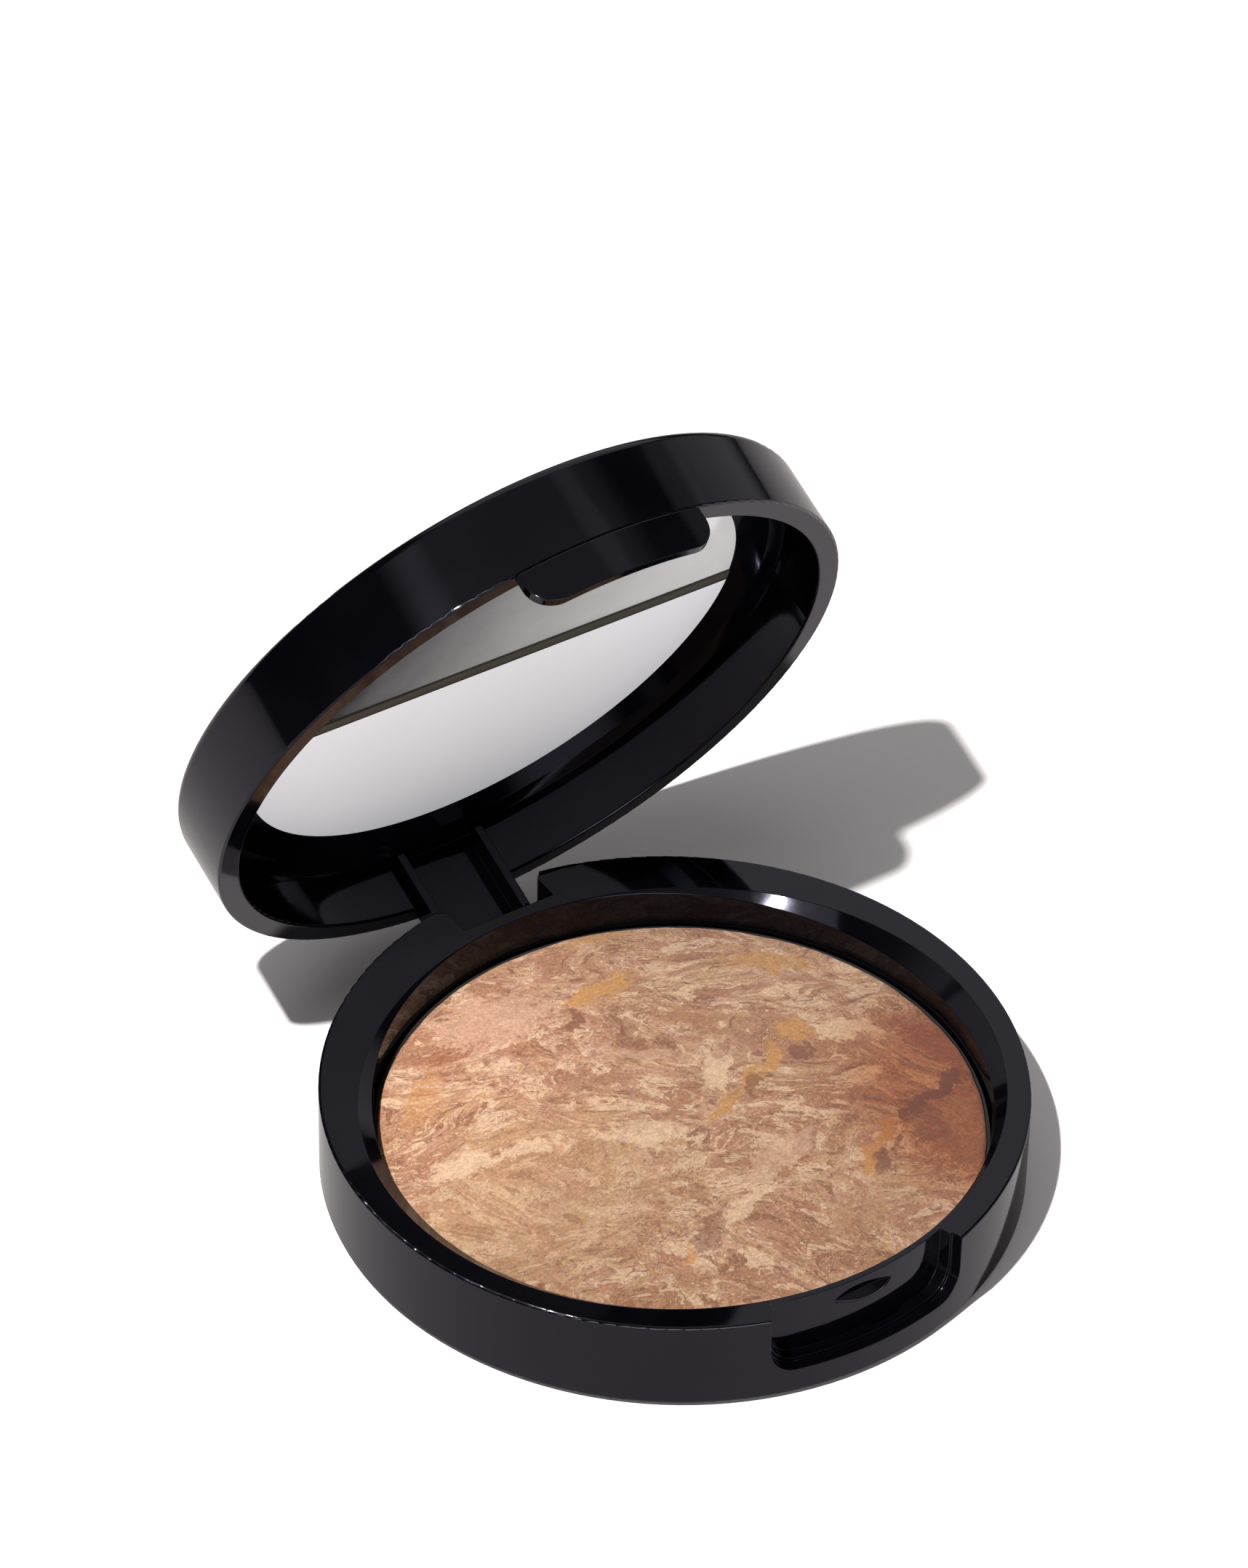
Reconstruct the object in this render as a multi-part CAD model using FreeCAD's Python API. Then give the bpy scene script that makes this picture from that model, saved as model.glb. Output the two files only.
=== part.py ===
import FreeCAD, Part
import math
import os

# Powder compact, modelled in millimetres.  +Z is up and the case stands on z = 0 with the axis of its
# round base on the Z axis.  The hinge is at the back (+Y) and the latch at the front (-Y).
# The lid's pieces are drawn shut and are then turned about the hinge axis to the open rest pose.

V = FreeCAD.Vector

# ---------------------------------------------------------------- driving sizes
CASE_R = 42.5            # outer radius of the base and of the lid
RIM_Z = 12.4             # top face of the base's rim
EDGE_ROUND = 0.3         # rounding of the glossy outer edges
PLATE_R = 41.5           # closing plate under the base, which is also the foot
PLATE_T = 1.0
PLATE_FIT = 0.1
SKIRT_Z = 0.5            # lower edge of the base's wall

WELL_R = 37.1            # round well for the powder, set forward to leave room for the hinge
WELL_Y = -1.8
WELL_FLOOR_Z = 3.2
MOUTH_HALF_X = 39.3      # the bevelled mouth of the well is an ellipse, wider across than front to back
MOUTH_SLOPE = 1.2        # how far the mouth closes in for each millimetre of depth
MOUTH_DEPTH = 2.2

HINGE_Y = 40.15
HINGE_Z = 4.65
PIN_R = 0.75
PIN_HALF_LENGTH = 9.3
PIN_PLAY = 0.05          # running fit of the pin in the lid's knuckle
KNUCKLE_R = 2.3
OPEN_ANGLE = 67.6        # how far the lid stands open in the rest pose
LID_GAP = 0.2            # between the two rims when the case is shut

HINGE_SLOT_HALF = 6.45   # slot in the base's rim that the lid's hinge arm passes through
HINGE_SLOT_FRONT_Y = 36.95
HINGE_SLOT_FLARE_Y = 40.3
HINGE_SLOT_FLARE_R = 1.0
ARM_HALF = 6.1
RIB_T = 1.05
RIB_FACE_Y = 37.8
RIB_TOP_Z = 19.9
PAD_FACE_Y = 40.8
PAD_TOP_Z = 19.55
LEAF_BACK_Y = 41.6       # back of the arm where it is let into the lid's wall
ARM_OUTER_R = 42.3       # back of the arm below the lid's rim

LATCH_BACK_R = 39.65     # finger recess at the front of the base
LATCH_HALF_ANGLE = 18.3
LATCH_FLOOR_Z = 4.0
LATCH_CORNER_R = 3.5
LATCH_STEP_R = 41.1      # inside this radius the recess is narrower and shallower by one small step
LATCH_STEP = 0.4
CATCH_HALF = 4.0         # half-moon ledge that the lid's tab snaps under, with a ramp on its top
CATCH_REACH = 1.1
CATCH_EDGE_Z = 10.25
CATCH_T = 0.35
CATCH_RAMP = 0.45
TAB_HALF = 12.3
TAB_INNER_R = 41.3
TAB_LENGTH = 5.0         # measured from the base's rim when shut
TAB_CORNER_R = 3.6
BUMP_HALF = 3.0
BUMP_REACH = 0.35
BUMP_LOW_Z = 8.6
BUMP_HIGH_Z = 9.5

LID_INNER_R = 39.6
LID_CEILING_Z = 23.1
LID_EDGE_Z = 23.6        # height of the lid's top edge when shut
LID_CROWN_Z = 24.3       # height of its slightly domed middle
LID_EDGE_ROUND = 1.3
BEZEL_R = 39.5
BEZEL_LOW_Z = 20.35
BEZEL_STEP_R = 37.65
BEZEL_STEP_Z = 21.2
MIRROR_VIEW_R = 33.55
MIRROR_FACE_Z = 22.05
MIRROR_R = 35.0
MIRROR_T = 0.9
MIRROR_FIT = 0.1
FILM_T = 0.3             # pale protective film over the hinge side half of the mirror
FILM_EDGE_Y = -1.4
FILM_FIT = 0.1

DISC_R = 36.8            # terracotta disc that the powder is baked on
DISC_LOW_Z = 3.5
DISC_TOP_Z = 6.9
GLUE_R = 28.0
POWDER_R = 36.95
POWDER_EDGE_Z = 7.35
POWDER_TOP_Z = 10.75

BEYOND = 4.0             # how far cutting tools run past the surface that they cut


# ---------------------------------------------------------------- helpers
def outline(corners):
    """Closed wire through the corners, each (point, rounding radius)."""
    count = len(corners)
    edges = []
    ends = []
    for index, (point, radius) in enumerate(corners):
        if radius == 0:
            ends.append((point, point))
            continue
        before = (corners[index - 1][0] - point).normalize()
        after = (corners[(index + 1) % count][0] - point).normalize()
        half = before.getAngle(after) / 2
        inset = radius / math.tan(half)
        middle = (before + after).normalize()
        start = point + before * inset
        finish = point + after * inset
        touch = point + middle * (radius / math.sin(half) - radius)
        edges.append(Part.Arc(start, touch, finish).toShape())
        ends.append((start, finish))
    for index in range(count):
        leave = ends[index][1]
        reach = ends[(index + 1) % count][0]
        if leave.distanceToPoint(reach) > 1e-6:
            edges.append(Part.makeLine(leave, reach))
    return Part.Wire(Part.__sortEdges__(edges))


def turned(corners, centre_y=0.0):
    """Solid of revolution about a vertical axis.  Corners are (radius, height, rounding)."""
    wire = outline([(V(radius, centre_y, height), rounding) for radius, height, rounding in corners])
    return Part.Face(wire).revolve(V(0, centre_y, 0), V(0, 0, 1), 360)


def disc(radius, low, high, centre_y=0.0):
    return Part.makeCylinder(radius, high - low, V(0, centre_y, low))


def ring(outer, inner, low, high):
    return disc(outer, low, high).cut(disc(inner, low, high))


def block(x_half, y_low, y_high, z_low, z_high):
    return Part.makeBox(2 * x_half, y_high - y_low, z_high - z_low, V(-x_half, y_low, z_low))


def bar_along_x(radius, x_low, x_high):
    """Round bar on the hinge axis."""
    return Part.makeCylinder(radius, x_high - x_low, V(x_low, HINGE_Y, HINGE_Z), V(1, 0, 0))


def tongue_wire(y, half, floor, corner, top):
    """Upright U outline at one depth, with its two lower corners rounded."""
    return outline([(V(-half, y, top), 0), (V(-half, y, floor), corner),
                    (V(half, y, floor), corner), (V(half, y, top), 0)])


# ---------------------------------------------------------------- base
def hinge_slot():
    """Slot through the base's rear wall, its two outer corners flared by a rounding."""
    flare = HINGE_SLOT_FLARE_R * math.sqrt(0.5)
    wide = HINGE_SLOT_HALF + HINGE_SLOT_FLARE_R
    back = CASE_R + BEYOND
    edges = []
    for side in (-1, 1):
        start = V(side * HINGE_SLOT_HALF, HINGE_SLOT_FLARE_Y, PLATE_T)
        middle = V(side * (wide - flare), HINGE_SLOT_FLARE_Y + flare, PLATE_T)
        finish = V(side * wide, HINGE_SLOT_FLARE_Y + HINGE_SLOT_FLARE_R, PLATE_T)
        edges.append(Part.makeLine(V(side * HINGE_SLOT_HALF, HINGE_SLOT_FRONT_Y, PLATE_T), start))
        edges.append(Part.Arc(start, middle, finish).toShape())
        edges.append(Part.makeLine(finish, V(side * wide, back, PLATE_T)))
    edges.append(Part.makeLine(V(-HINGE_SLOT_HALF, HINGE_SLOT_FRONT_Y, PLATE_T),
                               V(HINGE_SLOT_HALF, HINGE_SLOT_FRONT_Y, PLATE_T)))
    edges.append(Part.makeLine(V(-wide, back, PLATE_T), V(wide, back, PLATE_T)))
    plan = Part.Face(Part.Wire(Part.__sortEdges__(edges)))
    return plan.extrude(V(0, 0, RIM_Z))


def rim_relief():
    """Everything behind the hinge axis that the lid's rim would strike as it swings down."""
    radius = RIM_Z - HINGE_Z
    past = CASE_R + BEYOND / 4 - HINGE_Y
    half = past / 2
    width = CASE_R

    def on_arc(run):
        return V(-width / 2, HINGE_Y + run, HINGE_Z + math.sqrt(radius ** 2 - run ** 2))

    arc = Part.Arc(on_arc(0), on_arc(half), on_arc(past)).toShape()
    high = RIM_Z + BEYOND
    lines = [Part.makeLine(on_arc(past), V(-width / 2, HINGE_Y + past, high)),
             Part.makeLine(V(-width / 2, HINGE_Y + past, high), V(-width / 2, HINGE_Y, high)),
             Part.makeLine(V(-width / 2, HINGE_Y, high), on_arc(0))]
    return Part.Face(Part.Wire([arc] + lines)).extrude(V(width, 0, 0))


def latch_pocket(back_r, inset):
    """Finger pocket down to one depth, its side walls running along radii of the case."""
    wires = []
    for y in (LATCH_BACK_R - BEYOND, CASE_R + BEYOND):
        half = y * math.tan(math.radians(LATCH_HALF_ANGLE)) - inset
        wires.append(tongue_wire(-y, half, LATCH_FLOOR_Z + inset, LATCH_CORNER_R, RIM_Z + BEYOND))
    wedge = Part.makeLoft(wires, True, True)
    return wedge.common(ring(CASE_R + BEYOND, back_r, 0, RIM_Z + BEYOND))


def latch_recess():
    """Front finger recess with one small step all round its inner part."""
    return latch_pocket(LATCH_STEP_R, 0.0).fuse(latch_pocket(LATCH_BACK_R, LATCH_STEP))


def catch_ledge():
    """Half-moon ledge on the recess's back wall."""
    wall_y = math.sqrt(LATCH_BACK_R ** 2 - CATCH_HALF ** 2)
    rise = LATCH_BACK_R + CATCH_REACH - wall_y
    radius = (CATCH_HALF ** 2 + rise ** 2) / (2 * rise)
    centre_y = radius - LATCH_BACK_R - CATCH_REACH
    moon = disc(radius, CATCH_EDGE_Z - CATCH_T, CATCH_EDGE_Z, centre_y)
    ramp = Part.makeCone(radius, radius - CATCH_REACH, CATCH_RAMP, V(0, centre_y, CATCH_EDGE_Z))
    return moon.fuse(ramp).cut(disc(LATCH_BACK_R - EDGE_ROUND, 0, RIM_Z))


def well():
    """Round well with an elliptical bevelled mouth that meets it at the front and the back."""
    wires = []
    for depth in (0.0, MOUTH_DEPTH):
        shrink = MOUTH_SLOPE * depth
        ellipse = Part.Ellipse(V(0, WELL_Y, RIM_Z - depth), MOUTH_HALF_X - shrink, WELL_R - shrink)
        wires.append(Part.Wire(ellipse.toShape()))
    mouth = Part.makeLoft(wires, True, True)
    return disc(WELL_R, WELL_FLOOR_Z, RIM_Z + BEYOND, WELL_Y).fuse(mouth)


def base_shell():
    body = turned([(0, PLATE_T, 0), (PLATE_R + PLATE_FIT, PLATE_T, 0), (PLATE_R + PLATE_FIT, SKIRT_Z, 0),
                   (CASE_R, SKIRT_Z, EDGE_ROUND), (CASE_R, RIM_Z, EDGE_ROUND), (0, RIM_Z, 0)])
    body = body.cut(well())
    body = body.cut(hinge_slot())
    body = body.cut(rim_relief())
    body = body.cut(latch_recess())
    # The bore is blind on the left and runs out through the wall on the right, where the pin goes in.
    body = body.cut(bar_along_x(PIN_R, -PIN_HALF_LENGTH, CASE_R))
    return body.fuse(catch_ledge()).removeSplitter()


def base_plate():
    return turned([(0, 0, 0), (PLATE_R, 0, EDGE_ROUND), (PLATE_R, PLATE_T, 0), (0, PLATE_T, 0)])


def hinge_pin():
    return bar_along_x(PIN_R, -PIN_HALF_LENGTH, PIN_HALF_LENGTH)


def disc_glue():
    return disc(GLUE_R, WELL_FLOOR_Z, DISC_LOW_Z, WELL_Y)


def terracotta_disc():
    return turned([(0, DISC_LOW_Z, 0), (DISC_R, DISC_LOW_Z, EDGE_ROUND),
                   (DISC_R, DISC_TOP_Z, 0), (0, DISC_TOP_Z, 0)], WELL_Y)


def baked_powder():
    """Domed cake of powder, a cap of a large sphere on a short straight edge."""
    rise = POWDER_TOP_Z - POWDER_EDGE_Z
    sphere = (POWDER_R ** 2 + rise ** 2) / (2 * rise)
    cap = Part.makeSphere(sphere, V(0, WELL_Y, POWDER_TOP_Z - sphere))
    return disc(POWDER_R, DISC_TOP_Z, POWDER_TOP_Z + BEYOND, WELL_Y).common(cap)


# ---------------------------------------------------------------- lid, drawn shut
LID_RIM_Z = RIM_Z + LID_GAP


def lid_cup():
    """Lid's wall and slightly domed top, with no pockets yet."""
    rise = LID_CROWN_Z - LID_EDGE_Z
    run = CASE_R - LID_EDGE_ROUND
    sphere = (run ** 2 + rise ** 2) / (2 * rise)
    cup = turned([(0, LID_CEILING_Z, 0), (LID_INNER_R, LID_CEILING_Z, 0), (LID_INNER_R, LID_RIM_Z, EDGE_ROUND),
                  (CASE_R, LID_RIM_Z, EDGE_ROUND), (CASE_R, LID_EDGE_Z, LID_EDGE_ROUND), (0, LID_EDGE_Z, 0)])
    cap = Part.makeSphere(sphere, V(0, 0, LID_CROWN_Z - sphere))
    crown = cap.common(disc(run, LID_EDGE_Z - EDGE_ROUND, LID_CROWN_Z + BEYOND))
    return cup.fuse(crown)


def hinge_arm_shut():
    """Ribbed leaf let into the lid's rear wall, running down to a bored knuckle."""
    leaf = block(ARM_HALF, PAD_FACE_Y, LEAF_BACK_Y, HINGE_Z, PAD_TOP_Z)
    tail = block(ARM_HALF, PAD_FACE_Y, CASE_R, HINGE_Z, LID_RIM_Z).common(disc(ARM_OUTER_R, 0, RIM_Z * 2))
    arm = leaf.fuse(tail)
    for side in (-1, 1):
        rib = Part.makeBox(RIB_T, LEAF_BACK_Y - RIB_FACE_Y, RIB_TOP_Z - HINGE_Z,
                           V(side * ARM_HALF - (RIB_T if side > 0 else 0), RIB_FACE_Y, HINGE_Z))
        arm = arm.fuse(rib)
    arm = arm.fuse(bar_along_x(KNUCKLE_R, -ARM_HALF, ARM_HALF))
    return arm.cut(bar_along_x(PIN_R + PIN_PLAY, -CASE_R, CASE_R)).removeSplitter()


def lid_shell_shut():
    """Lid's cup with the hinge arm's seat cut out and its wall open between the two ribs."""
    window = block(ARM_HALF, RIB_FACE_Y, PAD_FACE_Y, RIM_Z - BEYOND, PAD_TOP_Z)
    return lid_cup().cut(hinge_arm_shut()).cut(window).removeSplitter()


def latch_tab_shut():
    """Curved tongue flush with the lid's wall, with a low bump inside that snaps under the ledge."""
    floor = RIM_Z - TAB_LENGTH
    wire = tongue_wire(-CASE_R - BEYOND, TAB_HALF, floor, TAB_CORNER_R, LID_RIM_Z)
    tongue = Part.Face(wire).extrude(V(0, 2 * BEYOND, 0))
    tongue = tongue.common(ring(CASE_R, TAB_INNER_R, 0, RIM_Z * 2))
    bump = ring(TAB_INNER_R + EDGE_ROUND, TAB_INNER_R - BUMP_REACH, BUMP_LOW_Z, BUMP_HIGH_Z)
    bump = bump.common(block(BUMP_HALF, -CASE_R, -CASE_R + BEYOND, 0, RIM_Z))
    return tongue.fuse(bump).removeSplitter()


def mirror_bezel_shut():
    """Stepped ring that holds the mirror's edge."""
    hidden = MIRROR_FACE_Z - MIRROR_FIT
    ring_body = turned([(BEZEL_R, BEZEL_LOW_Z, 0), (BEZEL_R, LID_CEILING_Z, 0),
                        (MIRROR_R + MIRROR_FIT, LID_CEILING_Z, 0), (MIRROR_R + MIRROR_FIT, MIRROR_FACE_Z, 0),
                        (MIRROR_VIEW_R, MIRROR_FACE_Z, 0), (MIRROR_VIEW_R, hidden, 0),
                        (BEZEL_STEP_R, BEZEL_STEP_Z, 0)])
    return ring_body.cut(block(ARM_HALF, RIB_FACE_Y - MIRROR_FIT, CASE_R, 0, RIB_TOP_Z + MIRROR_FIT))


def mirror_glass_shut():
    return disc(MIRROR_R, MIRROR_FACE_Z, MIRROR_FACE_Z + MIRROR_T)


def mirror_tape_shut():
    return disc(MIRROR_VIEW_R, MIRROR_FACE_Z + MIRROR_T, LID_CEILING_Z)


def mirror_film_shut():
    low = MIRROR_FACE_Z - FILM_T
    kept_half = block(CASE_R, FILM_EDGE_Y, CASE_R, low, MIRROR_FACE_Z)
    return disc(MIRROR_VIEW_R - FILM_FIT, low, MIRROR_FACE_Z).common(kept_half)


def opened(shape):
    """Turn a lid piece from shut to the rest pose."""
    shape.rotate(V(0, HINGE_Y, HINGE_Z), V(1, 0, 0), -OPEN_ANGLE)
    return shape


PIECES = {
    "base_shell": base_shell(),
    "base_plate": base_plate(),
    "hinge_pin": hinge_pin(),
    "disc_glue": disc_glue(),
    "terracotta_disc": terracotta_disc(),
    "baked_powder": baked_powder(),
    "lid_shell": opened(lid_shell_shut()),
    "hinge_arm": opened(hinge_arm_shut()),
    "latch_tab": opened(latch_tab_shut()),
    "mirror_bezel": opened(mirror_bezel_shut()),
    "mirror_glass": opened(mirror_glass_shut()),
    "mirror_tape": opened(mirror_tape_shut()),
    "mirror_film": opened(mirror_film_shut()),
}

os.makedirs("parts", exist_ok=True)
for name, shape in PIECES.items():
    solids = shape.Solids
    assert len(solids) == 1, name + " should be one solid"
    assert solids[0].isValid() and solids[0].isClosed(), name + " should be closed and valid"
    solids[0].exportStep("parts/" + name + ".step")
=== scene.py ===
"""Looks of an open powder compact: glossy black case, mirror in the lid, baked marbled powder."""
import math

import bpy
import numpy as np
from mathutils import Matrix, Vector


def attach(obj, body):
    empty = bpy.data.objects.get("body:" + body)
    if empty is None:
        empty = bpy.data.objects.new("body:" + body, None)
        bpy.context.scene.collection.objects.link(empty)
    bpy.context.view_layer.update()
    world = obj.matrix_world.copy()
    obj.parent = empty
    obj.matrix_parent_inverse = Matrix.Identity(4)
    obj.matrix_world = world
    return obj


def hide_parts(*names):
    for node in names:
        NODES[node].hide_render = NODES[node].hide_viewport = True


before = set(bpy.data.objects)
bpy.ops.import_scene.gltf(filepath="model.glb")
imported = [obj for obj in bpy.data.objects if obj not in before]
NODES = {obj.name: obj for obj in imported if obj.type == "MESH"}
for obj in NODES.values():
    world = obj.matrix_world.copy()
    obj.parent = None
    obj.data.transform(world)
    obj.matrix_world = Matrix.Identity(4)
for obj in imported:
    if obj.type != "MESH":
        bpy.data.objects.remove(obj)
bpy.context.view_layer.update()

MM = 0.001

# ---------------------------------------------------------------- places and sizes, in millimetres
HINGE = (0.0, 40.15, 4.65)        # a point on the pin's axis
OPEN_ANGLE = math.radians(67.6)   # how far the lid stands open at rest
EDGE_SOFTNESS = 0.16              # rounding that the polished plastic's edges show

POWDER_Y = -1.8                   # middle of the powder well
POWDER_R = 36.5
POWDER_LOW = 6.9                  # foot of the cake's wall
POWDER_EDGE = 7.35                # height of the cake's skin at its rim
POWDER_TOP = 10.72                # and at its crown
CROWN_POWER = 2.2                 # 2 is a round dome, more is flatter in the middle
SKIN_DROP = 0.12                  # keeps the highest crumbs under the CAD cake's top
SKIN_CALM = 2.0                   # the relief fades over this distance from the rim
SKIN_LEFT = 0.25                  # share of the relief that is left there
CAKE_ROUND = 0.7                  # rounding of the cake's crumbly edge
CAKE_RINGS = 232
CAKE_EDGE_RINGS = 12
CAKE_SPOKES = 960

# (cell size, height) of each layer of the cake's relief
RELIEF = ((9.0, 0.13), (4.0, 0.07), (1.7, 0.045), (0.8, 0.03), (0.42, 0.018))
# (cell size, depth) of each layer of the crumbling round its edge
CRUMBLE = ((6, 0.10), (2, 0.07), (1, 0.05))
CRUMBLE_R = 30                    # circle on which the crumbling's noise is read
CRUMBLE_SEED = 40
CRUMBLE_POWER = 8                 # how closely the crumbling keeps to the rim
LATTICE_HALF = 60                 # noise lattices reach this far from the middle

PAINTED_GAP_SHADE_RIM = (35.6, 36.3)           # over these radii the clay is painted near black: painted shade in the gap by the well wall
FINE_GRAIN = 6                    # how much finer a dull material's second grain is

# In the shut lid's frame, in millimetres
FILM_SHADE_STRIP_Y = 0.5                # edge of the film's strip of painted shade
FILM_SHADE_STRIP_FADE = 0.08
FILM_SHADOW_LINE = (0.4, 0.3)            # its darkest painted shadow line, next to the edge: where it has faded, and starts to
PAINTED_REFLECTION_DARK = -26.0               # across the mirror: where its painted reflection is darkest
PAINTED_REFLECTION_PALE = 30.0                # and palest
MIRROR_SLANT = 0.25               # how much of the way up counts as across

SHARP_ANGLE = math.radians(32)
FAN_FACES = 100                   # more faces than this meet only in the middle of a domed face
JOIN_GAP = 0.001


# ---------------------------------------------------------------- small helpers for shader nodes
class NodeTree:
    """Adds nodes to a tree; every method but node returns an output socket."""

    def __init__(self, tree):
        self.tree = tree
        self.tree.nodes.clear()

    def node(self, kind, inputs=None, **settings):
        made = self.tree.nodes.new(kind)
        for key, value in settings.items():
            setattr(made, key, value)
        for key, value in (inputs or {}).items():
            if isinstance(value, bpy.types.NodeSocket):
                self.tree.links.new(value, made.inputs[key])
            else:
                made.inputs[key].default_value = value
        return made

    def math(self, what, a, b=0.0):
        return self.node("ShaderNodeMath", {0: a, 1: b}, operation=what).outputs[0]

    def vector_math(self, what, inputs, output=0):
        return self.node("ShaderNodeVectorMath", inputs, operation=what).outputs[output]

    def span(self, value, low, high, out_low=0.0, out_high=1.0, smooth=True):
        """value between low and high taken to out_low..out_high."""
        return self.node("ShaderNodeMapRange",
                         {"Value": value, "From Min": low, "From Max": high,
                          "To Min": out_low, "To Max": out_high},
                         interpolation_type="SMOOTHSTEP" if smooth else "LINEAR").outputs[0]

    def mix(self, amount, a, b, how="MIX"):
        return self.node("ShaderNodeMix", {0: amount, 6: a, 7: b},
                         data_type="RGBA", blend_type=how).outputs[2]


class Shader(NodeTree):
    """A material's tree, with coordinates in the frame's millimetres."""

    def __init__(self, name):
        self.material = bpy.data.materials.new(name)
        self.material.use_nodes = True
        super().__init__(self.material.node_tree)
        self.coords = self.node("ShaderNodeTexCoord").outputs["Object"]

    def scaled(self, scale=(1, 1, 1), turn=0.0):
        """Object coordinates in millimetres, turned about Z, then scaled."""
        size = tuple(s / MM for s in scale)
        turned = self.node("ShaderNodeMapping", {"Vector": self.coords, "Rotation": (0, 0, turn)})
        return self.node("ShaderNodeMapping", {"Vector": turned.outputs[0],
                                               "Scale": size}).outputs[0]

    def lid_coords(self):
        """Millimetres in the lid's own frame, as if the lid were shut."""
        hinge = tuple(c * MM for c in HINGE)
        turned = self.node("ShaderNodeVectorRotate", {"Vector": self.coords, "Center": hinge,
                                                      "Axis": (1, 0, 0), "Angle": OPEN_ANGLE},
                           rotation_type="AXIS_ANGLE").outputs[0]
        return self.vector_math("SCALE", {0: turned, 3: 1 / MM})

    def lid_axes(self):
        return self.node("ShaderNodeSeparateXYZ", {0: self.lid_coords()}).outputs

    def noise(self, where, scale, detail=4.0, rough=0.55, warp=0.0):
        made = self.node("ShaderNodeTexNoise", {"Vector": where, "Scale": scale, "Detail": detail,
                                                "Roughness": rough, "Distortion": warp})
        return made.outputs["Fac"]

    def distance(self, where, point):
        return self.vector_math("DISTANCE", {0: where, 1: point}, "Value")

    def bump(self, height, strength, distance, normal=None):
        inputs = {"Height": height, "Strength": strength, "Distance": distance}
        if normal is not None:
            inputs["Normal"] = normal
        return self.node("ShaderNodeBump", inputs).outputs[0]

    def principled(self, inputs):
        shader = self.node("ShaderNodeBsdfPrincipled", inputs)
        self.node("ShaderNodeOutputMaterial", {"Surface": shader.outputs[0]})
        return self.material


def rgb(red, green, blue):
    """An sRGB colour from 0 to 255 as a linear colour."""
    def linear(value):
        value /= 255
        return value / 12.92 if value <= 0.04045 else ((value + 0.055) / 1.055) ** 2.4
    return (linear(red), linear(green), linear(blue), 1.0)


# How strongly each pale surface shows when black gloss mirrors it.
FLOOR_MIRRORED = 0.46
FILM_MIRRORED = 0.5
MIRROR_MIRRORED = 0.3
POWDER_MIRRORED = 0.55


def dimmed(s, tint, kept):
    """A tone that polished plastic mirrors only faintly: kept is the share that is left there."""
    mirrored = s.node("ShaderNodeLightPath").outputs["Is Glossy Ray"]
    return s.mix(s.math("MULTIPLY", mirrored, 1.0 - kept), tint, (0.0, 0.0, 0.0, 1.0))


# ---------------------------------------------------------------- materials of case and mirror
def black_plastic():
    """Polished black polystyrene: faint flow waviness, hairline scratches, patchy polish."""
    s = Shader("gloss_black_plastic")
    where = s.scaled()
    flow = s.noise(where, scale=0.07, detail=2.0, rough=0.4)
    along_hairs = s.scaled((0.30, 12.0, 5.0), turn=0.6)
    hair = s.noise(along_hairs, scale=1.0, detail=2.0, rough=0.6, warp=0.3)
    scratches = s.math("MULTIPLY", s.span(hair, 0.70, 0.76), 0.03)
    polish = s.noise(where, scale=0.25, detail=3.0, rough=0.5)
    rough = s.math("ADD", s.span(polish, 0.3, 0.7, 0.05, 0.075), scratches)
    tint = s.mix(s.span(flow, 0.3, 0.7), rgb(2, 2, 4), rgb(5, 5, 8))
    rounded = s.node("ShaderNodeBevel", {"Radius": EDGE_SOFTNESS * MM}, samples=6).outputs[0]
    normal = s.bump(flow, strength=0.05, distance=0.0006, normal=rounded)
    return s.principled({"Base Color": tint, "Roughness": rough, "IOR": 1.45, "Normal": normal,
                         "Specular Tint": (0.82, 0.79, 1.0, 1.0)})


def mirror_face():
    """Dulled mirror: part mirror, part a painted reflection, a soft grey that runs from dark to pale
    across it.
    """
    s = Shader("mirror_with_painted_reflection")
    haze = s.noise(s.scaled(), scale=0.15, detail=3.0, rough=0.6)
    place = s.lid_axes()
    across = s.math("ADD", place[0], s.math("MULTIPLY", place[1], MIRROR_SLANT))
    # painted reflection: a grey that runs from dark to pale across the mirror, in the lid's frame
    painted_reflection = s.span(across, PAINTED_REFLECTION_DARK, PAINTED_REFLECTION_PALE, smooth=False)
    painted_reflection = s.math("ADD", painted_reflection, s.span(haze, 0.2, 0.8, -0.03, 0.03))
    tint = s.mix(painted_reflection, rgb(30, 32, 36), rgb(250, 252, 255))
    return s.principled({"Base Color": dimmed(s, tint, MIRROR_MIRRORED), "Metallic": 0.25,
                         "Roughness": s.span(haze, 0.3, 0.7, 0.05, 0.10)})


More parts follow.
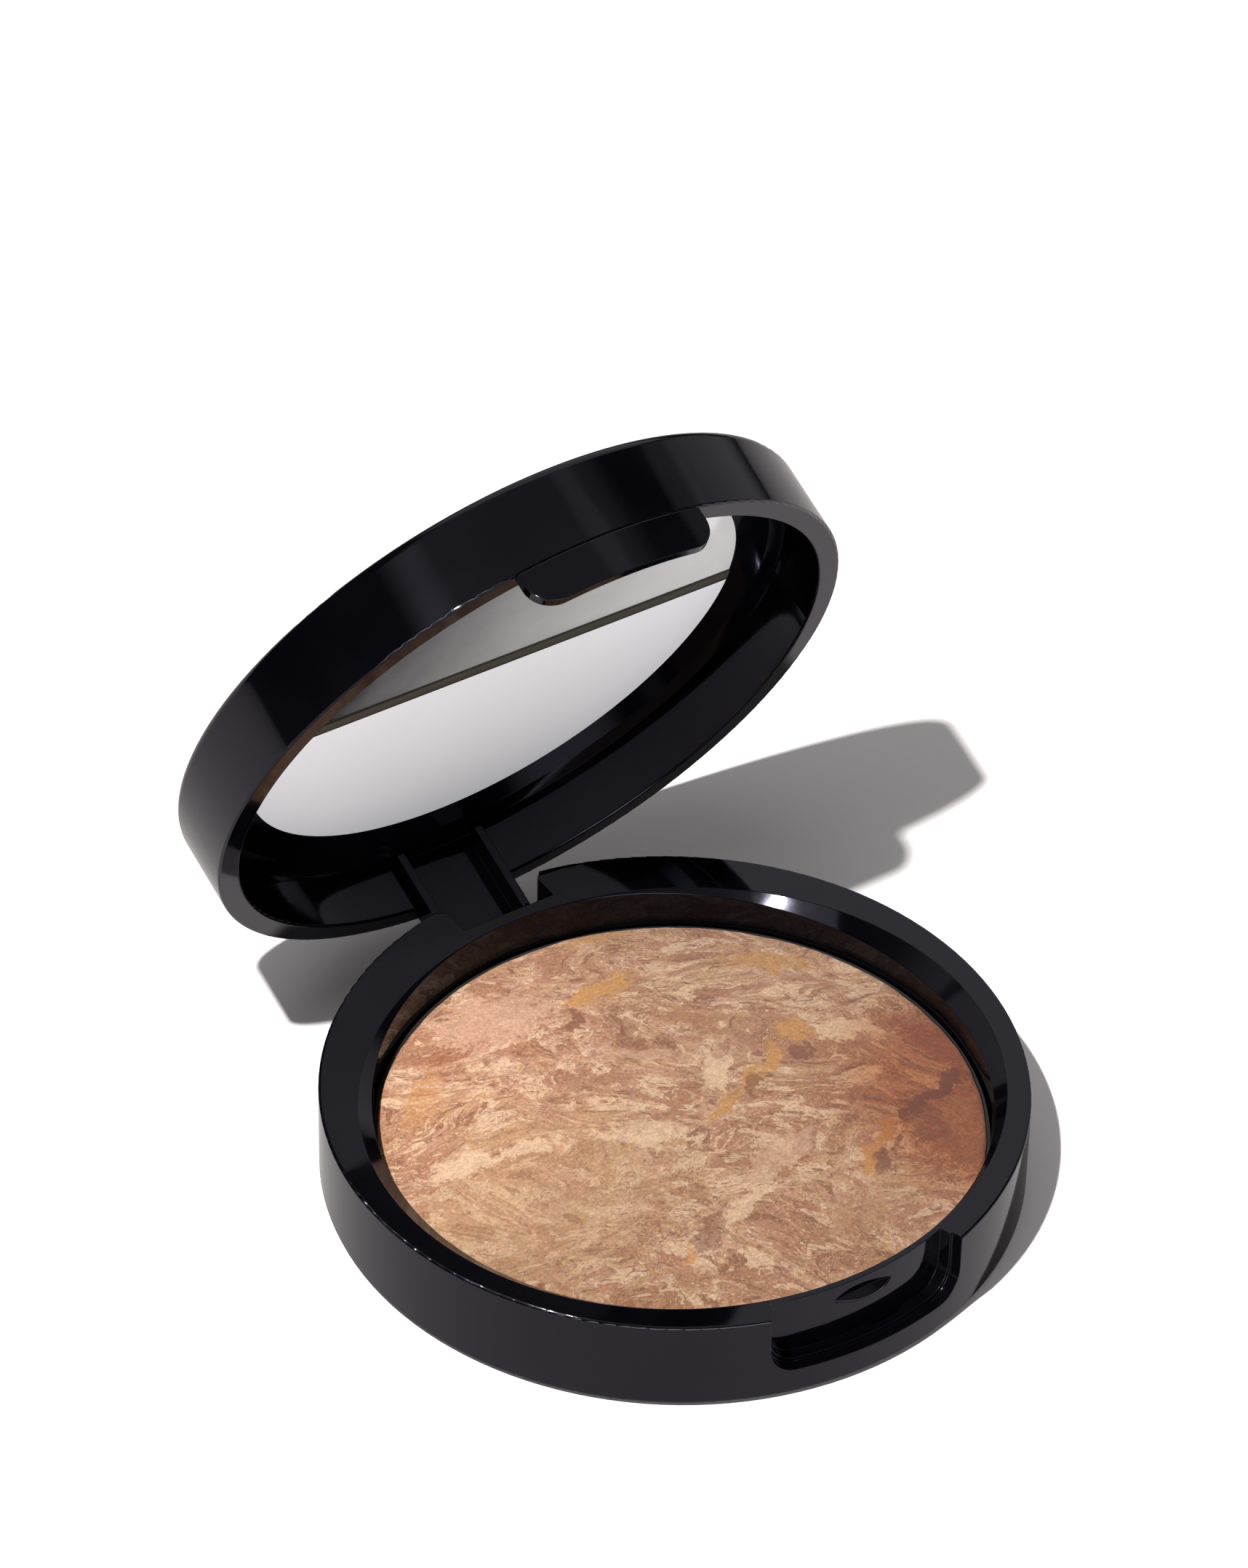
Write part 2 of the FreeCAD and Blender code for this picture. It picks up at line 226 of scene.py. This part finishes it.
def mirror_film():
    """Pale matt film; along its straight side runs a strip of painted shade with a painted olive
    reflection in it, and a darker painted shadow line by its edge.
    """
    s = Shader("pale_mirror_film")
    along = s.lid_axes()[1]
    cloud = s.noise(s.scaled(), scale=0.05, detail=3.0, rough=0.5)
    pale = s.mix(cloud, rgb(232, 236, 242), rgb(238, 242, 248))
    # painted shade along the straight edge, with a painted olive reflection and a darker painted shadow
    # line
    painted_shade_strip = s.span(along, FILM_SHADE_STRIP_Y, FILM_SHADE_STRIP_Y - FILM_SHADE_STRIP_FADE)
    faded, full = (FILM_SHADE_STRIP_Y - reach for reach in FILM_SHADOW_LINE)
    painted_shadow_line = s.math("MULTIPLY", s.span(along, faded, full), painted_shade_strip)
    grain = s.noise(s.scaled((0.05, 2.0, 2.0)), scale=1.0, detail=3.0)
    painted_olive_reflection = s.mix(grain, rgb(44, 42, 38), rgb(84, 80, 72))
    tint = s.mix(painted_shade_strip, pale, s.mix(painted_shadow_line, painted_olive_reflection, rgb(6, 5, 8)))
    return s.principled({"Base Color": dimmed(s, tint, FILM_MIRRORED), "Roughness": 0.4,
                         "Specular IOR Level": 0.3})


def steel():
    """Drawn steel, streaked along the pin."""
    s = Shader("drawn_steel")
    streak = s.noise(s.scaled((0.4, 9.0, 9.0)), scale=1.0, detail=3.0, rough=0.6)
    tint = s.mix(streak, rgb(120, 120, 124), rgb(176, 176, 180))
    return s.principled({"Base Color": tint, "Metallic": 1.0,
                         "Roughness": s.span(streak, 0.3, 0.7, 0.22, 0.38)})


def grainy(name, dark, light, scale, rough, depth):
    """A dull, grainy material: foam tape or set glue."""
    s = Shader(name)
    where = s.scaled()
    coarse = s.noise(where, scale, detail=5.0, rough=0.65)
    fine = s.noise(where, scale * FINE_GRAIN, detail=3.0, rough=0.6)
    tint = s.mix(s.span(coarse, 0.3, 0.7), dark, light)
    tint = s.mix(s.span(fine, 0.35, 0.75, 0.0, 0.35), tint, dark)
    return s.principled({"Base Color": tint, "Roughness": rough,
                         "Normal": s.bump(fine, strength=0.5, distance=depth)})


def terracotta():
    """Fired clay, with painted shade round its rim: near black in the gap between the powder's edge and
    the well wall.
    """
    s = Shader("terracotta")
    where = s.scaled()
    coarse = s.noise(where, scale=0.9, detail=5.0, rough=0.65)
    tint = s.mix(s.span(coarse, 0.3, 0.7), rgb(148, 82, 56), rgb(196, 122, 88))
    # painted shade: near black round the rim, in the gap by the well wall
    reach = s.distance(where, (0.0, POWDER_Y, POWDER_LOW))
    tint = s.mix(s.span(reach, *PAINTED_GAP_SHADE_RIM), tint, rgb(26, 18, 16))
    grit = s.noise(where, scale=5.0, detail=3.0)
    return s.principled({"Base Color": tint, "Roughness": 0.85,
                         "Normal": s.bump(grit, strength=0.5, distance=0.0002)})


# ---------------------------------------------------------------- material of the powder
# Tones of the baked powder, as seen in daylight.
PEACH = rgb(207, 166, 138)
PINK = rgb(220, 184, 162)
ROSE = rgb(196, 148, 124)
TAN = rgb(186, 140, 108)
BROWN = rgb(148, 98, 70)
UMBER = rgb(140, 88, 64)
GOLD = rgb(209, 174, 132)
OCHRE = rgb(214, 164, 100)
CREAM = rgb(242, 217, 190)
RUST = rgb(172, 100, 56)
GLINT = rgb(255, 242, 220)

FLOW_TURN = math.radians(34)
FLOW_STRETCH = (0.55, 1.0, 1.0)
STREAK_STRETCH = (0.9, 6.0, 6.0)

# Pushes that bend the marbling and the patches, broad to fine: noise scale, reach, detail.
FLOW_PUSHES = ((0.070, 16.0, 1.0), (0.24, 6.0, 2.0), (0.9, 1.1, 5.0))
PATCH_PUSHES = ((0.20, 6.0, 2.0), (0.8, 1.6, 4.0))

# Layers laid over the first tone: noise value where each starts and is full, strength, tone.
BANDS = (
    (0.40, 0.41, 1.0, ROSE),
    (0.44, 0.45, 1.0, PEACH),
    (0.48, 0.486, 1.0, PINK),
    (0.515, 0.522, 1.0, GOLD),
    (0.55, 0.56, 1.0, PEACH),
    (0.60, 0.61, 1.0, TAN),
)
WIDE_CURLS = ((0.56, 0.568, 0.85, CREAM), (0.44, 0.432, 0.75, TAN))
FINE_CURLS = ((0.41, 0.40, 0.8, BROWN), (0.60, 0.608, 0.8, CREAM))
STREAKS = ((0.42, 0.36, 0.30, TAN), (0.58, 0.64, 0.26, CREAM))

LINE_RATE = 170.0                 # how closely the fine contour lines follow each other
RAGGEDNESS = 3.4                  # how far the patches' edges wander
GRAINS_PER_MM = 3.4
WEAVE_TURN = 0.5                  # faint print of the cloth that pressed the cake
WEAVE_SCALE = 0.62

# Broad drift over the cake, partly the baked tone and partly painted light and shade: middle, distances
# where it starts and is full.
PALE_AND_PAINTED_LIGHT_PLACE = ((-30.0, 31.0, 9.0), 50.0, 12.0)
SCORCH_AND_PAINTED_SHADE_PLACE = ((36.0, -18.0, 9.0), 27.0, 13.0)
BAKED = (0.60, 0.51, 0.435, 1.0)
BAKED_PALE_AND_PAINTED_LIGHT = (0.88, 0.735, 0.635, 1.0)
SCORCHED_AND_PAINTED_SHADE = (0.41, 0.20, 0.09, 1.0)

# Larger patches in the marbling: middle, half sizes, turn in degrees, tone, strength.
PATCHES = (
    ((30.0, -19.5), (8.0, 6.0), 35, TAN, 0.75),
    ((35.5, -16.5), (3.5, 5.5), 35, RUST, 0.5),
    ((28.5, -14.5), (7.5, 1.3), 16, UMBER, 0.9),
    ((24.0, -17.5), (3.2, 2.6), 40, BROWN, 0.55),
    ((34.0, -8.0), (1.6, 9.0), 20, RUST, 0.6),
    ((-17.9, 21.8), (6.5, 3.0), 30, RUST, 0.40),
    ((-25.0, 17.0), (5.0, 2.2), 40, OCHRE, 0.45),
    ((-10.0, 24.5), (7.0, 4.5), 0, PINK, 0.8),
    ((-22.0, -6.0), (15.0, 12.0), 0, GOLD, 0.4),
    ((3.5, 21.8), (4.8, 1.5), 14, OCHRE, 0.95),
    ((-2.6, 18.2), (1.8, 1.0), 60, BROWN, 0.9),
    ((24.7, 16.2), (4.5, 1.6), -40, OCHRE, 0.75),
    ((10.0, 32.0), (4.5, 0.9), -6, OCHRE, 0.7),
    ((24.6, 0.6), (5.5, 1.5), -32, CREAM, 0.95),
    ((19.7, 3.0), (2.5, 1.6), 10, OCHRE, 1.0),
    ((17.6, -1.4), (1.9, 1.5), 35, UMBER, 0.8),
    ((13.6, 0.2), (3.2, 1.0), 38, OCHRE, 1.0),
    ((9.8, -2.4), (2.9, 0.9), 50, OCHRE, 0.95),
    ((9.0, -3.9), (2.2, 0.6), 55, UMBER, 0.7),
    ((6.5, 0.9), (3.8, 1.6), 75, CREAM, 0.9),
    ((9.6, 3.4), (2.4, 1.6), 20, ROSE, 0.6),
    ((3.6, -5.2), (2.6, 0.9), 25, OCHRE, 0.85),
    ((-7.2, -3.6), (6.0, 1.3), -28, CREAM, 0.75),
    ((-19.8, 1.6), (4.2, 1.3), -28, CREAM, 0.8),
    ((-26.8, 4.2), (4.8, 1.2), -20, CREAM, 0.8),
    ((1.0, 8.0), (5.5, 1.2), -42, PINK, 0.7),
    ((1.4, 12.9), (1.4, 3.6), -8, BROWN, 0.55),
    ((9.5, 11.4), (4.0, 1.5), -36, TAN, 0.7),
    ((18.2, -17.2), (2.9, 1.1), 48, OCHRE, 1.0),
    ((14.2, -20.6), (2.7, 1.3), 48, OCHRE, 0.95),
    ((15.6, -21.8), (2.0, 1.0), 55, UMBER, 0.75),
    ((4.5, -15.5), (5.5, 1.5), 20, PINK, 0.75),
    ((-3.6, -19.8), (4.2, 1.2), 22, CREAM, 0.8),
    ((-9.2, -21.6), (3.4, 1.3), 30, UMBER, 0.6),
    ((-13.2, -23.2), (1.9, 1.0), 30, OCHRE, 0.75),
    ((8.0, -27.5), (5.0, 3.0), 0, TAN, 0.5),
)
PATCH_FADE = (1.25, 0.85)         # share of a patch's half size where it starts and is full
PATCH_TALL = 1e6                  # patches run straight down through the cake


def swirled(s, where, pushes):
    """Coordinates pushed about by soft noise, so what is drawn on them flows like marbling."""
    for scale, reach, detail in pushes:
        push = s.node("ShaderNodeTexNoise", {"Vector": where, "Scale": scale, "Detail": detail,
                                             "Roughness": 0.55}).outputs["Color"]
        centred = s.vector_math("SUBTRACT", {0: push, 1: (0.5, 0.5, 0.5)})
        where = s.vector_math("MULTIPLY_ADD", {0: centred, 1: (reach, reach, reach), 2: where})
    return where


def layered(s, tint, value, layers):
    """Each layer's tone laid over tint where value passes from its low to its high."""
    for low, high, strength, tone in layers:
        tint = s.mix(s.span(value, low, high, 0.0, strength), tint, tone)
    return tint


def contour_lines(s, where, bands):
    """Fine lines that follow the edges of the bands, in some parts of the cake only."""
    wave = s.math("SINE", s.math("MULTIPLY", bands, LINE_RATE))
    shown = s.span(s.noise(where, scale=0.12), 0.46, 0.54)
    return s.math("MULTIPLY", s.span(wave, 0.80, 0.97), shown)


def dark_veins(s, where, fine):
    """Hair-thin winding veins, in some parts of the cake only."""
    course = s.noise(fine, scale=0.5, detail=6.0, rough=0.6, warp=0.4)
    ridge = s.math("ABSOLUTE", s.math("SUBTRACT", course, 0.5))
    shown = s.span(s.noise(where, scale=0.14, detail=3.0), 0.42, 0.54)
    return s.math("MULTIPLY", s.span(ridge, 0.010, 0.0), shown)


def specked(s, where, tint, speck):
    """Pale and dark specks, denser where the cake is gritty."""
    gritty = s.span(s.noise(where, scale=0.10, detail=3.0), 0.44, 0.58, 0.5, 1.0)
    pale = s.math("MULTIPLY", s.span(speck, 0.55, 0.575, 0.0, 0.6), gritty)
    dark = s.math("MULTIPLY", s.span(speck, 0.45, 0.425, 0.0, 0.6), gritty)
    return s.mix(dark, s.mix(pale, tint, CREAM), BROWN)


def patched(s, where, tint, wobble):
    """The larger patches, as ellipses whose edges wander."""
    ragged = s.math("MULTIPLY", s.math("SUBTRACT", wobble, 0.5), RAGGEDNESS)
    bent = swirled(s, where, PATCH_PUSHES)
    for middle, halves, turn, tone, strength in PATCHES:
        local = s.node("ShaderNodeMapping",
                       {"Vector": bent, "Location": (*middle, 0.0),
                        "Rotation": (0, 0, math.radians(turn)), "Scale": (*halves, PATCH_TALL)},
                       vector_type="TEXTURE").outputs[0]
        reach = s.vector_math("LENGTH", {0: local}, "Value")
        mask = s.span(s.math("ADD", reach, ragged), *PATCH_FADE)
        tint = s.mix(s.math("MULTIPLY", mask, strength), tint, tone)
    return tint


def baked(s, where, tint):
    """The broad drift, partly the baked tone and partly painted light and shade: paler and painted lit
    at the back, darker, partly scorched and partly painted shade, at one side.
    """
    def near(place):
        middle, start, full = place
        return s.span(s.distance(where, middle), start, full)
    # painted light and shade, partly the baked tone: paler toward the back left, darker toward the right
    # front
    drift = s.mix(near(PALE_AND_PAINTED_LIGHT_PLACE), BAKED, BAKED_PALE_AND_PAINTED_LIGHT)
    drift = s.mix(near(SCORCH_AND_PAINTED_SHADE_PLACE), drift, SCORCHED_AND_PAINTED_SHADE)
    return s.mix(1.0, tint, drift, "MULTIPLY")


def cloth_print(s, bands):
    """Print of the weave that pressed the cake; it fades out where the bands' noise is low."""
    weave = s.scaled(turn=WEAVE_TURN)
    ribs = [s.node("ShaderNodeTexWave", {"Vector": weave, "Scale": WEAVE_SCALE},
                   bands_direction=axis).outputs["Fac"] for axis in ("X", "Y")]
    return s.math("MULTIPLY", s.math("MULTIPLY", *ribs), s.span(bands, 0.45, 0.6))


def powder():
    """Baked marbled powder: bands, curls, veins, specks, patches, grains and a few glints."""
    s = Shader("baked_marbled_powder")
    where = s.scaled()
    fine = swirled(s, s.scaled(FLOW_STRETCH, FLOW_TURN), FLOW_PUSHES)
    bands = s.noise(fine, scale=0.15, detail=5.0, rough=0.55, warp=0.2)
    wide_curls = s.noise(fine, scale=0.34, detail=5.0, rough=0.58, warp=0.3)
    fine_curls = s.noise(fine, scale=0.65, detail=6.0, rough=0.62, warp=0.5)
    streaks = s.noise(s.scaled(STREAK_STRETCH, FLOW_TURN), scale=1.0, detail=6.0, rough=0.75,
                      warp=0.8)
    wobble = s.noise(where, scale=0.8, detail=8.0, rough=0.72)
    speck = s.noise(where, scale=2.3, detail=6.0, rough=0.88)
    veins = dark_veins(s, where, fine)

    tint = layered(s, TAN, bands, BANDS)
    tint = layered(s, tint, wide_curls, WIDE_CURLS)
    tint = layered(s, tint, fine_curls, FINE_CURLS)
    tint = s.mix(s.math("MULTIPLY", contour_lines(s, where, bands), 0.75), tint, BROWN)
    tint = s.mix(s.math("MULTIPLY", veins, 0.8), tint, UMBER)
    tint = layered(s, tint, streaks, STREAKS)
    tint = specked(s, where, tint, speck)
    tint = patched(s, where, tint, wobble)

    grains = s.node("ShaderNodeTexVoronoi", {"Vector": where, "Scale": GRAINS_PER_MM},
                    feature="F1").outputs
    chance = s.node("ShaderNodeSeparateColor", {"Color": grains["Color"]}).outputs
    shade = s.span(chance[0], 0.0, 1.0, 0.82, 1.14, smooth=False)
    tint = s.vector_math("SCALE", {0: tint, 3: shade})
    glints = s.math("MULTIPLY", s.span(chance[1], 0.95, 0.96),
                    s.span(grains["Distance"], 0.30, 0.2))
    tint = s.mix(s.math("MULTIPLY", glints, 0.85), tint, GLINT)
    tint = baked(s, where, tint)

    normal = s.bump(wobble, strength=0.5, distance=0.0004)
    normal = s.bump(speck, strength=0.6, distance=0.00025, normal=normal)
    normal = s.bump(cloth_print(s, bands), strength=0.12, distance=0.0001, normal=normal)
    normal = s.bump(veins, strength=0.35, distance=-0.00012, normal=normal)
    rough = s.math("SUBTRACT", s.span(speck, 0.3, 0.7, 0.78, 0.6), s.math("MULTIPLY", glints, 0.3))
    return s.principled({"Base Color": dimmed(s, tint, POWDER_MIRRORED), "Roughness": rough,
                         "Normal": normal, "Sheen Weight": 0.1, "Sheen Roughness": 0.5})


# ---------------------------------------------------------------- pieces
def lattice_noise(x, y, cell, seed):
    """Smooth random heights from -1 to 1 on a square lattice of that cell size."""
    half = int(LATTICE_HALF / cell)
    grid = np.random.default_rng(seed).uniform(-1, 1, (2 * half + 2, 2 * half + 2))
    u, v = x / cell + half, y / cell + half
    i, j = np.floor(u).astype(int), np.floor(v).astype(int)
    fu, fv = u - i, v - j
    fu, fv = fu * fu * (3 - 2 * fu), fv * fv * (3 - 2 * fv)
    near = grid[i, j] * (1 - fu) + grid[i + 1, j] * fu
    far = grid[i, j + 1] * (1 - fu) + grid[i + 1, j + 1] * fu
    return near * (1 - fv) + far * fv


def cake_height(x, y):
    """Height of the baked cake over a point of the well: a low crown with an uneven skin."""
    radius = np.hypot(x, y)
    fall = np.clip(radius / POWDER_R, 0, 1) ** CROWN_POWER
    crown = POWDER_EDGE + (POWDER_TOP - POWDER_EDGE) * (1 - fall)
    skin = sum(height * lattice_noise(x, y, cell, seed + 1)
               for seed, (cell, height) in enumerate(RELIEF))
    return crown + skin * np.clip((POWDER_R - radius) / SKIN_CALM, SKIN_LEFT, 1) - SKIN_DROP


def cake_rows():
    """(radius, drop below the skin) of each ring of the cake, from its middle to its wall."""
    flat_r = POWDER_R - CAKE_ROUND
    turns = np.linspace(0, math.pi / 2, CAKE_EDGE_RINGS + 1)[1:]
    rows = [(share * flat_r, 0.0) for share in np.linspace(0, 1, CAKE_RINGS)[1:]]
    rows += [(flat_r + CAKE_ROUND * math.sin(t), CAKE_ROUND * (1 - math.cos(t))) for t in turns]
    return rows


def cake_faces(rings):
    """A fan in the middle, quads from ring to ring, and one face underneath."""
    def ring(k):
        first = 1 + k * CAKE_SPOKES
        return [first + spoke % CAKE_SPOKES for spoke in range(CAKE_SPOKES + 1)]
    first = ring(0)
    faces = [(0, first[k], first[k + 1]) for k in range(CAKE_SPOKES)]
    for k in range(rings - 1):
        a, b = ring(k), ring(k + 1)
        faces += [(a[n], b[n], b[n + 1], a[n + 1]) for n in range(CAKE_SPOKES)]
    faces.append(tuple(reversed(ring(rings - 1)[:CAKE_SPOKES])))
    return faces


def add_cake():
    """The baked powder cake: a fine polar grid with a crumbly rounded edge and a wall below it."""
    angles = np.linspace(0, 2 * math.pi, CAKE_SPOKES, endpoint=False)
    crumble = sum(depth * lattice_noise(CRUMBLE_R * np.cos(angles), CRUMBLE_R * np.sin(angles),
                                        cell, CRUMBLE_SEED + cell)
                  for cell, depth in CRUMBLE)
    rings = []
    for radius, drop in cake_rows():
        local = radius + crumble * (radius / POWDER_R) ** CRUMBLE_POWER
        x, y = local * np.cos(angles), local * np.sin(angles)
        rings.append(np.stack([x, y + POWDER_Y, cake_height(x, y) - drop], -1))
    foot = rings[-1].copy()
    foot[:, 2] = POWDER_LOW
    rings.append(foot)
    middle = np.array([[0.0, POWDER_Y, float(cake_height(np.zeros(1), np.zeros(1))[0])]])
    mesh = bpy.data.meshes.new("baked_powder_cake")
    mesh.from_pydata(np.concatenate([middle, *rings]) * MM, [], cake_faces(len(rings)))
    mesh.polygons.foreach_set("use_smooth", [True] * len(mesh.polygons))
    return add_object("baked_powder_cake", mesh)


def add_object(name, data):
    made = bpy.data.objects.new(name, data)
    bpy.context.scene.collection.objects.link(made)
    return made


def set_material(piece, material):
    piece.data.materials.clear()
    piece.data.materials.append(material)


def join_fan_middles(piece):
    """Joins the doubled points in the middle of a domed face, which would shade as a dark wedge."""
    corners = np.zeros(len(piece.data.loops), dtype=int)
    piece.data.loops.foreach_get("vertex_index", corners)
    middles = np.flatnonzero(np.bincount(corners) > FAN_FACES)
    if len(middles) > 1:
        group = piece.vertex_groups.new(name="fan_middles")
        group.add(middles.tolist(), 1.0, "REPLACE")
        weld = piece.modifiers.new("join_fan_middles", "WELD")
        weld.vertex_group = group.name
        weld.merge_threshold = JOIN_GAP * MM


def smooth_normals(piece):
    """Even shading on a CAD solid: smooth over curves, sharp at edges, flat where it is flat."""
    piece.data.polygons.foreach_set("use_smooth", [True] * len(piece.data.polygons))
    piece.data.set_sharp_from_angle(angle=SHARP_ANGLE)
    join_fan_middles(piece)
    weighted = piece.modifiers.new("even_normals", "WEIGHTED_NORMAL")
    weighted.keep_sharp = True
    weighted.weight = 100


# ---------------------------------------------------------------- studio
CAMERA_LENS = 156.3
CAMERA_SENSOR = 36.0
CAMERA_AIM = (34.223, 63.176, 0.0)   # in millimetres, on the floor
CAMERA_VIEW = (-33.987, 39.004)      # azimuth and elevation in degrees
CAMERA_DISTANCE = 0.87456
CAMERA_ROLL = math.radians(1.381)
CAMERA_NEAR = 0.01
FLOOR_HALF = 3.0

# (azimuth, elevation, half angle, soft edge, radiance) of each patch of light in the room
ROOM_LIGHTS = (
    (150, 42, 29, 4, 0.57),
    (0, 90, 32, 6, 0.22),
    (95, 67, 3, 2, 0.20),
    (104, 14, 14, 5, 0.36),
    (102, 33, 6, 2, 0.18),
    (-82, 56, 7, 6, 0.80),
    (-18, 7, 19, 5, 5.50),
)
ROOM_BASE = 0.03
ROOM_SEEN = 1.0                      # what the camera sees of the room is plain white
KEY_PLACE = (-316.0, -120.0, 663.0)  # in millimetres
KEY_RADIUS = 0.009
KEY_STRENGTH = 60.0
KEY_TINT = (1.0, 0.99, 0.97)


def direction(azimuth, elevation):
    a, e = math.radians(azimuth), math.radians(elevation)
    return Vector((math.sin(a) * math.cos(e), -math.cos(a) * math.cos(e), math.sin(e)))


def add_camera():
    data = bpy.data.cameras.new("camera")
    data.lens = CAMERA_LENS
    data.sensor_width = CAMERA_SENSOR
    data.clip_start = CAMERA_NEAR
    camera = add_object("camera", data)
    toward = direction(*CAMERA_VIEW)
    camera.location = Vector(CAMERA_AIM) * MM + toward * CAMERA_DISTANCE
    level = (-toward).to_track_quat("-Z", "Y").to_matrix()
    camera.rotation_euler = (level @ Matrix.Rotation(CAMERA_ROLL, 3, "Z")).to_euler()
    bpy.context.scene.camera = camera


def pale_floor():
    s = Shader("pale_floor")
    cloud = s.noise(s.scaled(), scale=0.01, detail=2.0)
    tint = s.mix(cloud, (0.89, 0.855, 0.86, 1), (0.91, 0.875, 0.88, 1))
    return s.principled({"Base Color": dimmed(s, tint, FLOOR_MIRRORED), "Roughness": 0.9,
                         "Specular IOR Level": 0.0})


def add_floor():
    half = FLOOR_HALF
    mesh = bpy.data.meshes.new("floor")
    mesh.from_pydata([(-half, -half, 0), (half, -half, 0), (half, half, 0), (-half, half, 0)],
                     [], [(0, 1, 2, 3)])
    floor = add_object("floor", mesh)
    set_material(floor, pale_floor())


def add_room():
    """White to the camera; to everything else a dark room with a few soft patches of light."""
    world = bpy.data.worlds.new("studio")
    bpy.context.scene.world = world
    world.use_nodes = True
    s = NodeTree(world.node_tree)
    coords = s.node("ShaderNodeTexCoord").outputs["Generated"]
    total = ROOM_BASE
    for azimuth, elevation, half, edge, radiance in ROOM_LIGHTS:
        toward = direction(azimuth, elevation)
        nearness = s.vector_math("DOT_PRODUCT", {0: coords, 1: toward}, "Value")
        start, full = (math.cos(math.radians(angle)) for angle in (half + edge, half - edge))
        total = s.math("ADD", s.span(nearness, start, full, 0.0, radiance), total)
    seen = s.node("ShaderNodeLightPath").outputs["Is Camera Ray"]
    shown = s.node("ShaderNodeMix", {0: seen, 2: total, 3: ROOM_SEEN}).outputs[0]
    background = s.node("ShaderNodeBackground", {"Color": shown})
    s.node("ShaderNodeOutputWorld", {"Surface": background.outputs[0]})


def add_key():
    """Small bare lamp near by; its even falloff keeps the floor's far side as bright."""
    data = bpy.data.lights.new("key", "POINT")
    data.shadow_soft_size = KEY_RADIUS
    data.energy = 1.0
    data.color = KEY_TINT
    data.use_nodes = True
    tree = data.node_tree
    falloff = tree.nodes.new("ShaderNodeLightFalloff")
    falloff.inputs["Strength"].default_value = KEY_STRENGTH
    tree.links.new(falloff.outputs["Constant"], tree.nodes["Emission"].inputs["Strength"])
    add_object("key", data).location = Vector(KEY_PLACE) * MM


# ---------------------------------------------------------------- putting it together
add_camera()
add_floor()
add_room()
add_key()

PLASTIC = black_plastic()
LOOKS = {
    "base_shell": PLASTIC,
    "lid_shell": PLASTIC,
    "base_plate": PLASTIC,
    "hinge_arm": PLASTIC,
    "latch_tab": PLASTIC,
    "mirror_bezel": PLASTIC,
    "mirror_glass": mirror_face(),
    "hinge_pin": steel(),
    "mirror_film": mirror_film(),
    "mirror_tape": grainy("foam_tape", rgb(200, 200, 198), rgb(232, 232, 230),
                          scale=1.2, rough=0.9, depth=0.0001),
    "disc_glue": grainy("set_glue", rgb(205, 198, 180), rgb(228, 222, 205),
                        scale=0.5, rough=0.35, depth=0.0002),
    "terracotta_disc": terracotta(),
}
for node_name, material in LOOKS.items():
    set_material(NODES[node_name], material)
    smooth_normals(NODES[node_name])

cake = add_cake()
set_material(cake, powder())
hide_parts("baked_powder")
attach(cake, "base")

bpy.context.scene.view_settings.view_transform = "Standard"
